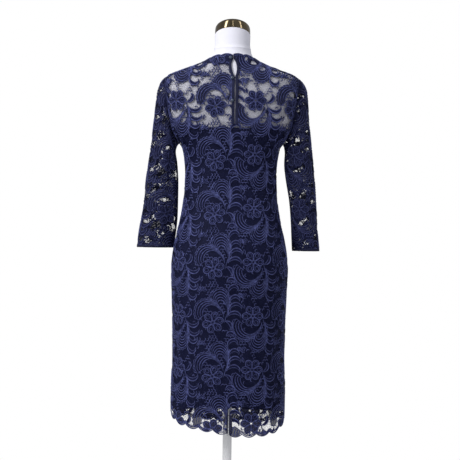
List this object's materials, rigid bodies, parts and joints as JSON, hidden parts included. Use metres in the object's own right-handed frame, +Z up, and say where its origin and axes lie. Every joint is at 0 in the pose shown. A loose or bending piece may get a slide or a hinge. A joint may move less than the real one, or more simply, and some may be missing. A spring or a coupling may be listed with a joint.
{
  "type": "cocktail dress on a dress form",
  "caption": "Fitted knee-length cocktail dress of navy floral lace over a plain lining, with sheer yoke and three-quarter sleeves, worn by a limbless dress form on a pole and round base.",
  "frame": {"origin": "centre of the base's flat underside, on the floor", "axes": "+Z up from the floor; the dress's centre back faces -Y and its front +Y; the wearer's left is on -X"},
  "size_m": [0.5145, 0.34, 1.5905],
  "materials": {
    "navy_lace": "matte corded lace",
    "navy_lining": "smooth jersey",
    "navy_binding": "matte woven binding",
    "button_navy": "glossy",
    "form_jersey": "matte stretch cover over a rigid form",
    "cap_bronze": "polished dark bronze",
    "stand_enamel": "satin white enamel"
  },
  "bodies": {
    "root": {"stand_base": "stand_enamel", "stand_pole": "stand_enamel", "form_body": "form_jersey", "neck_cap": "cap_bronze", "lace_back": "navy_lace", "lace_front": "navy_lace", "sleeve_left_back": "navy_lace", "sleeve_left_front": "navy_lace", "sleeve_right_back": "navy_lace", "sleeve_right_front": "navy_lace", "lining_back": "navy_lining", "lining_front": "navy_lining", "placket_left": "navy_binding", "placket_right": "navy_binding", "vent_edge_left": "navy_binding", "vent_edge_right": "navy_binding", "button_1": "button_navy", "button_2": "button_navy", "button_3": "button_navy"}
  },
  "joints": []
}
